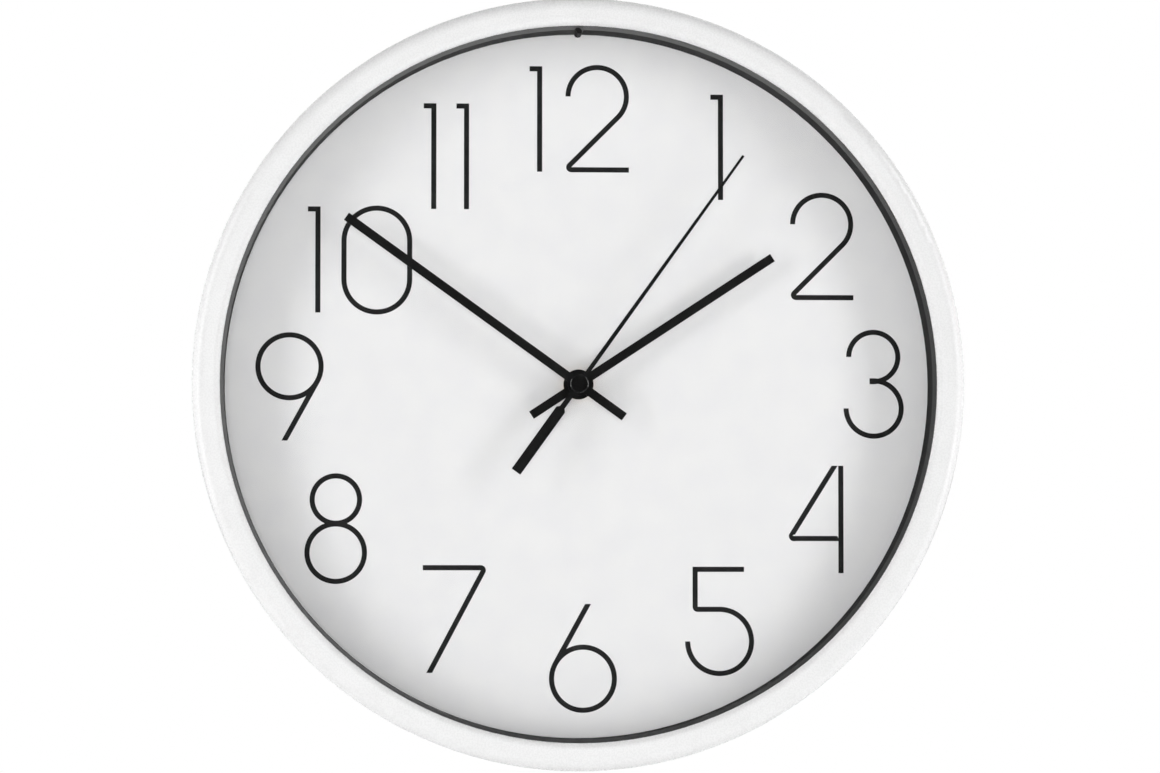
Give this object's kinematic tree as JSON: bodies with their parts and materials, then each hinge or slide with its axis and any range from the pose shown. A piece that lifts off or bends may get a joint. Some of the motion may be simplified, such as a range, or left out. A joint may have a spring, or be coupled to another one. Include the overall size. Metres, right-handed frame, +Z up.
{
  "type": "wall clock",
  "caption": "Round wall clock: white case, deep black inner ring, plain numbered dial, hour, minute and second hands, and a battery stepping movement that turns them through its gear train.",
  "frame": {"origin": "on the hands' axis, in the plane of the wall that the foot ring rests on", "axes": "+Y into the wall, -Y out of the dial towards the viewer, +Z up to 12 o'clock, +X to 3 o'clock"},
  "size_m": [0.3, 0.0392, 0.3],
  "materials": {
    "white_case": "white, smooth moulded, satin gloss",
    "white_cover": "white, fine moulded texture",
    "lens": "clear flat lens",
    "black_ring": "black, semi gloss",
    "dial_face": "matt white printed dial",
    "zinc_screw": "zinc plated",
    "movement_shell": "black moulded, fine texture",
    "rubber": "black rubber",
    "brass": "turned brass",
    "iron": "stamped soft iron",
    "bobbin_plastic": "red moulded",
    "copper_wire": "enamelled copper winding",
    "board": "green solder mask",
    "epoxy": "black epoxy",
    "crystal_can": "drawn metal can",
    "contact_spring": "nickel plated spring strip",
    "gear_white": "natural acetal",
    "steel_shaft": "drawn steel",
    "magnet": "sintered magnet",
    "knob": "white moulded",
    "hand_black": "satin black paint",
    "cap_black": "black, satin",
    "cell_sleeve": "plain printed sleeve"
  },
  "bodies": {
    "case": {"bezel": "white_case", "glass_lens": "lens", "spacer_ring": "black_ring", "dial": "dial_face", "back_cover": "white_cover", "case_screws": "zinc_screw", "movement_base": "movement_shell", "movement_cover": "movement_shell", "rubber_washer": "rubber", "dial_washer": "brass", "mounting_nut": "brass", "stator": "iron", "coil_core": "iron", "coil_bobbin": "bobbin_plastic", "coil_winding": "copper_wire", "coil_screws": "zinc_screw", "circuit_board": "board", "controller_chip": "epoxy", "quartz_crystal": "crystal_can", "positive_contact": "contact_spring", "negative_contact": "contact_spring"},
    "seconds": {"second_wheel": "gear_white", "second_shaft": "steel_shaft", "second_hand": "hand_black", "second_hand_cap": "cap_black"},
    "minutes": {"centre_wheel": "gear_white", "clutch_spring": "contact_spring", "cannon_pinion": "gear_white", "minute_hand": "hand_black"},
    "hours": {"hour_wheel": "gear_white", "hour_hand": "hand_black"},
    "motion_work": {"minute_work_wheel": "gear_white"},
    "third": {"third_wheel": "gear_white"},
    "fifth": {"fifth_wheel": "gear_white"},
    "rotor": {"rotor_pinion": "gear_white", "rotor_magnet": "magnet"},
    "setting": {"setting_knob": "knob", "setting_pinion": "gear_white"},
    "battery": {"battery_cell": "cell_sleeve"}
  },
  "joints": [
    {"name": "minute_hand_turn", "type": "hinge", "parent": "case", "child": "minutes", "pos_m": [0, 0, 0], "axis": [0, 1, 0], "continuous": true},
    {"name": "second_hand_turn", "type": "hinge", "parent": "case", "child": "seconds", "pos_m": [0, 0, 0], "axis": [0, 1, 0], "continuous": true},
    {"name": "hour_hand_turn", "type": "hinge", "parent": "case", "child": "hours", "pos_m": [0, 0, 0], "axis": [0, 1, 0], "continuous": true},
    {"name": "motion_work_turn", "type": "hinge", "parent": "case", "child": "motion_work", "pos_m": [0.00779, 0, 0.0045], "axis": [0, 1, 0], "continuous": true},
    {"name": "third_wheel_turn", "type": "hinge", "parent": "case", "child": "third", "pos_m": [0, 0, 0.009], "axis": [0, 1, 0], "continuous": true},
    {"name": "fifth_wheel_turn", "type": "hinge", "parent": "case", "child": "fifth", "pos_m": [-0.00579, 0, -0.00689], "axis": [0, 1, 0], "continuous": true},
    {"name": "rotor_turn", "type": "hinge", "parent": "case", "child": "rotor", "pos_m": [-0.01279, 0, -0.00689], "axis": [0, 1, 0], "continuous": true},
    {"name": "setting_knob_turn", "type": "hinge", "parent": "case", "child": "setting", "pos_m": [0.01559, 0, 0.009], "axis": [0, 1, 0], "continuous": true},
    {"name": "battery_lift", "type": "slide", "parent": "case", "child": "battery", "axis": [0, 1, 0], "range_m": [0, 0.03]}
  ],
  "couplings": [
    {"joint": "second_hand_turn", "follows": "minute_hand_turn", "ratio": 60},
    {"joint": "hour_hand_turn", "follows": "minute_hand_turn", "ratio": 0.083333},
    {"joint": "motion_work_turn", "follows": "minute_hand_turn", "ratio": -0.33333},
    {"joint": "third_wheel_turn", "follows": "minute_hand_turn", "ratio": -8},
    {"joint": "fifth_wheel_turn", "follows": "minute_hand_turn", "ratio": -300},
    {"joint": "rotor_turn", "follows": "minute_hand_turn", "ratio": 1800},
    {"joint": "setting_knob_turn", "follows": "minute_hand_turn", "ratio": 1}
  ]
}
